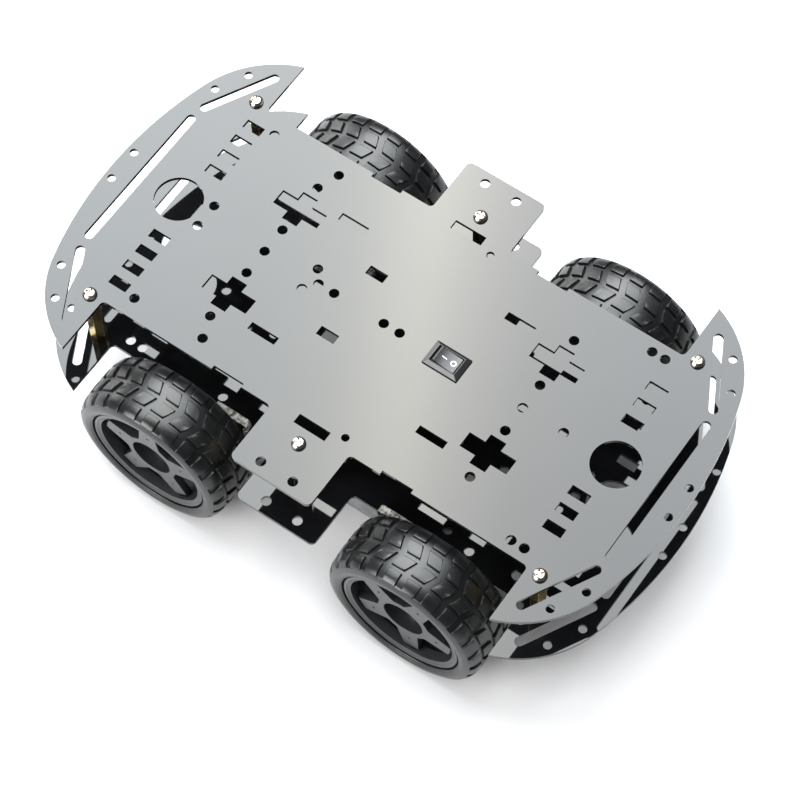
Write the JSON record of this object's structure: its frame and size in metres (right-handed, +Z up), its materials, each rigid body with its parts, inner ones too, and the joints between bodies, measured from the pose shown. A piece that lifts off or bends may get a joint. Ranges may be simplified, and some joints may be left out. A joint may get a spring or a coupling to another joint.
{
  "type": "four wheel robot chassis",
  "caption": "Two-deck rolling robot base: pierced black plates on brass spacers, geared motors in clear brackets, spoked rims with treaded tyres and a rocker switch.",
  "frame": {"origin": "on the floor under the middle of the plates", "axes": "+X towards the end with the rocker switch, +Z up, wheel axles along Y"},
  "size_m": [0.2484, 0.1546, 0.0802],
  "materials": {
    "plate_black": "gloss",
    "brass": "machined",
    "nickel_screw": "bright nickel plate",
    "clear_bracket": "clear acrylic",
    "clear_strap": "clear moulded plastic",
    "gearbox_black": "moulded",
    "can_steel": "zinc plate",
    "end_cap": "moulded",
    "gear_plastic": "moulded",
    "rotor_steel": "wound armature",
    "magnet": "ferrite",
    "rim_grey": "satin moulded",
    "tyre_rubber": "moulded rubber",
    "switch_black": "satin"
  },
  "bodies": {
    "chassis": {"upper_plate": "plate_black", "lower_plate": "plate_black", "brass_spacers": "brass", "upper_plate_screws": "nickel_screw", "lower_plate_screws": "nickel_screw", "motor_bolts": "nickel_screw", "motor_nuts": "nickel_screw", "outer_brackets": "clear_bracket", "inner_brackets": "clear_bracket", "gear_pins": "nickel_screw", "gearbox_screws": "nickel_screw", "motor_magnets": "magnet", "motor_terminals": "brass", "switch_housing": "switch_black", "switch_terminals": "brass", "front_left_gearbox_outer_half": "gearbox_black", "front_left_gearbox_inner_half": "gearbox_black", "front_left_motor_can": "can_steel", "front_left_motor_end_cap": "end_cap", "front_left_motor_strap": "clear_strap", "front_right_gearbox_outer_half": "gearbox_black", "front_right_gearbox_inner_half": "gearbox_black", "front_right_motor_can": "can_steel", "front_right_motor_end_cap": "end_cap", "front_right_motor_strap": "clear_strap", "rear_left_gearbox_outer_half": "gearbox_black", "rear_left_gearbox_inner_half": "gearbox_black", "rear_left_motor_can": "can_steel", "rear_left_motor_end_cap": "end_cap", "rear_left_motor_strap": "clear_strap", "rear_right_gearbox_outer_half": "gearbox_black", "rear_right_gearbox_inner_half": "gearbox_black", "rear_right_motor_can": "can_steel", "rear_right_motor_end_cap": "end_cap", "rear_right_motor_strap": "clear_strap"},
    "front_left_wheel": {"front_left_rim": "rim_grey", "front_left_tyre": "tyre_rubber", "front_left_output_shaft": "gear_plastic"},
    "front_left_idler": {"front_left_idler_gear": "gear_plastic"},
    "front_left_crown": {"front_left_crown_gear": "gear_plastic"},
    "front_left_rotor": {"front_left_motor_rotor": "rotor_steel"},
    "front_right_wheel": {"front_right_rim": "rim_grey", "front_right_tyre": "tyre_rubber", "front_right_output_shaft": "gear_plastic"},
    "front_right_idler": {"front_right_idler_gear": "gear_plastic"},
    "front_right_crown": {"front_right_crown_gear": "gear_plastic"},
    "front_right_rotor": {"front_right_motor_rotor": "rotor_steel"},
    "rear_left_wheel": {"rear_left_rim": "rim_grey", "rear_left_tyre": "tyre_rubber", "rear_left_output_shaft": "gear_plastic"},
    "rear_left_idler": {"rear_left_idler_gear": "gear_plastic"},
    "rear_left_crown": {"rear_left_crown_gear": "gear_plastic"},
    "rear_left_rotor": {"rear_left_motor_rotor": "rotor_steel"},
    "rear_right_wheel": {"rear_right_rim": "rim_grey", "rear_right_tyre": "tyre_rubber", "rear_right_output_shaft": "gear_plastic"},
    "rear_right_idler": {"rear_right_idler_gear": "gear_plastic"},
    "rear_right_crown": {"rear_right_crown_gear": "gear_plastic"},
    "rear_right_rotor": {"rear_right_motor_rotor": "rotor_steel"},
    "rocker": {"switch_rocker": "switch_black"}
  },
  "joints": [
    {"name": "front_left_wheel_spin", "type": "hinge", "parent": "chassis", "child": "front_left_wheel", "pos_m": [0.0561, 0.0385, 0.0325], "axis": [0, 1, 0], "continuous": true},
    {"name": "front_left_idler_spin", "type": "hinge", "parent": "chassis", "child": "front_left_idler", "pos_m": [0.04744, 0.0425, 0.0356], "axis": [0, 1, 0], "continuous": true},
    {"name": "front_left_crown_spin", "type": "hinge", "parent": "chassis", "child": "front_left_crown", "pos_m": [0.0403, 0.0355, 0.0325], "axis": [0, 1, 0], "continuous": true},
    {"name": "front_left_rotor_spin", "type": "hinge", "parent": "chassis", "child": "front_left_rotor", "pos_m": [0.0191, 0.0385, 0.0325], "axis": [-1, 0, 0], "continuous": true},
    {"name": "front_right_wheel_spin", "type": "hinge", "parent": "chassis", "child": "front_right_wheel", "pos_m": [0.0561, -0.0385, 0.0325], "axis": [0, 1, 0], "continuous": true},
    {"name": "front_right_idler_spin", "type": "hinge", "parent": "chassis", "child": "front_right_idler", "pos_m": [0.04744, -0.0425, 0.0294], "axis": [0, 1, 0], "continuous": true},
    {"name": "front_right_crown_spin", "type": "hinge", "parent": "chassis", "child": "front_right_crown", "pos_m": [0.0403, -0.0355, 0.0325], "axis": [0, 1, 0], "continuous": true},
    {"name": "front_right_rotor_spin", "type": "hinge", "parent": "chassis", "child": "front_right_rotor", "pos_m": [0.0191, -0.0385, 0.0325], "axis": [1, 0, 0], "continuous": true},
    {"name": "rear_left_wheel_spin", "type": "hinge", "parent": "chassis", "child": "rear_left_wheel", "pos_m": [-0.0561, 0.0385, 0.0325], "axis": [0, 1, 0], "continuous": true},
    {"name": "rear_left_idler_spin", "type": "hinge", "parent": "chassis", "child": "rear_left_idler", "pos_m": [-0.04744, 0.0425, 0.0294], "axis": [0, 1, 0], "continuous": true},
    {"name": "rear_left_crown_spin", "type": "hinge", "parent": "chassis", "child": "rear_left_crown", "pos_m": [-0.0403, 0.0355, 0.0325], "axis": [0, 1, 0], "continuous": true},
    {"name": "rear_left_rotor_spin", "type": "hinge", "parent": "chassis", "child": "rear_left_rotor", "pos_m": [-0.0191, 0.0385, 0.0325], "axis": [1, 0, 0], "continuous": true},
    {"name": "rear_right_wheel_spin", "type": "hinge", "parent": "chassis", "child": "rear_right_wheel", "pos_m": [-0.0561, -0.0385, 0.0325], "axis": [0, 1, 0], "continuous": true},
    {"name": "rear_right_idler_spin", "type": "hinge", "parent": "chassis", "child": "rear_right_idler", "pos_m": [-0.04744, -0.0425, 0.0356], "axis": [0, 1, 0], "continuous": true},
    {"name": "rear_right_crown_spin", "type": "hinge", "parent": "chassis", "child": "rear_right_crown", "pos_m": [-0.0403, -0.0355, 0.0325], "axis": [0, 1, 0], "continuous": true},
    {"name": "rear_right_rotor_spin", "type": "hinge", "parent": "chassis", "child": "rear_right_rotor", "pos_m": [-0.0191, -0.0385, 0.0325], "axis": [-1, 0, 0], "continuous": true},
    {"name": "rocker_tilt", "type": "hinge", "parent": "chassis", "child": "rocker", "pos_m": [0.0239, 0, 0.07665], "axis": [0, -1, 0], "range_deg": [0, 22]}
  ],
  "couplings": [
    {"joint": "front_left_idler_spin", "follows": "front_left_wheel_spin", "ratio": -3.6},
    {"joint": "front_left_crown_spin", "follows": "front_left_wheel_spin", "ratio": 12},
    {"joint": "front_left_rotor_spin", "follows": "front_left_wheel_spin", "ratio": 48},
    {"joint": "front_right_idler_spin", "follows": "front_right_wheel_spin", "ratio": -3.6},
    {"joint": "front_right_crown_spin", "follows": "front_right_wheel_spin", "ratio": 12},
    {"joint": "front_right_rotor_spin", "follows": "front_right_wheel_spin", "ratio": 48},
    {"joint": "rear_left_idler_spin", "follows": "rear_left_wheel_spin", "ratio": -3.6},
    {"joint": "rear_left_crown_spin", "follows": "rear_left_wheel_spin", "ratio": 12},
    {"joint": "rear_left_rotor_spin", "follows": "rear_left_wheel_spin", "ratio": 48},
    {"joint": "rear_right_idler_spin", "follows": "rear_right_wheel_spin", "ratio": -3.6},
    {"joint": "rear_right_crown_spin", "follows": "rear_right_wheel_spin", "ratio": 12},
    {"joint": "rear_right_rotor_spin", "follows": "rear_right_wheel_spin", "ratio": 48}
  ]
}
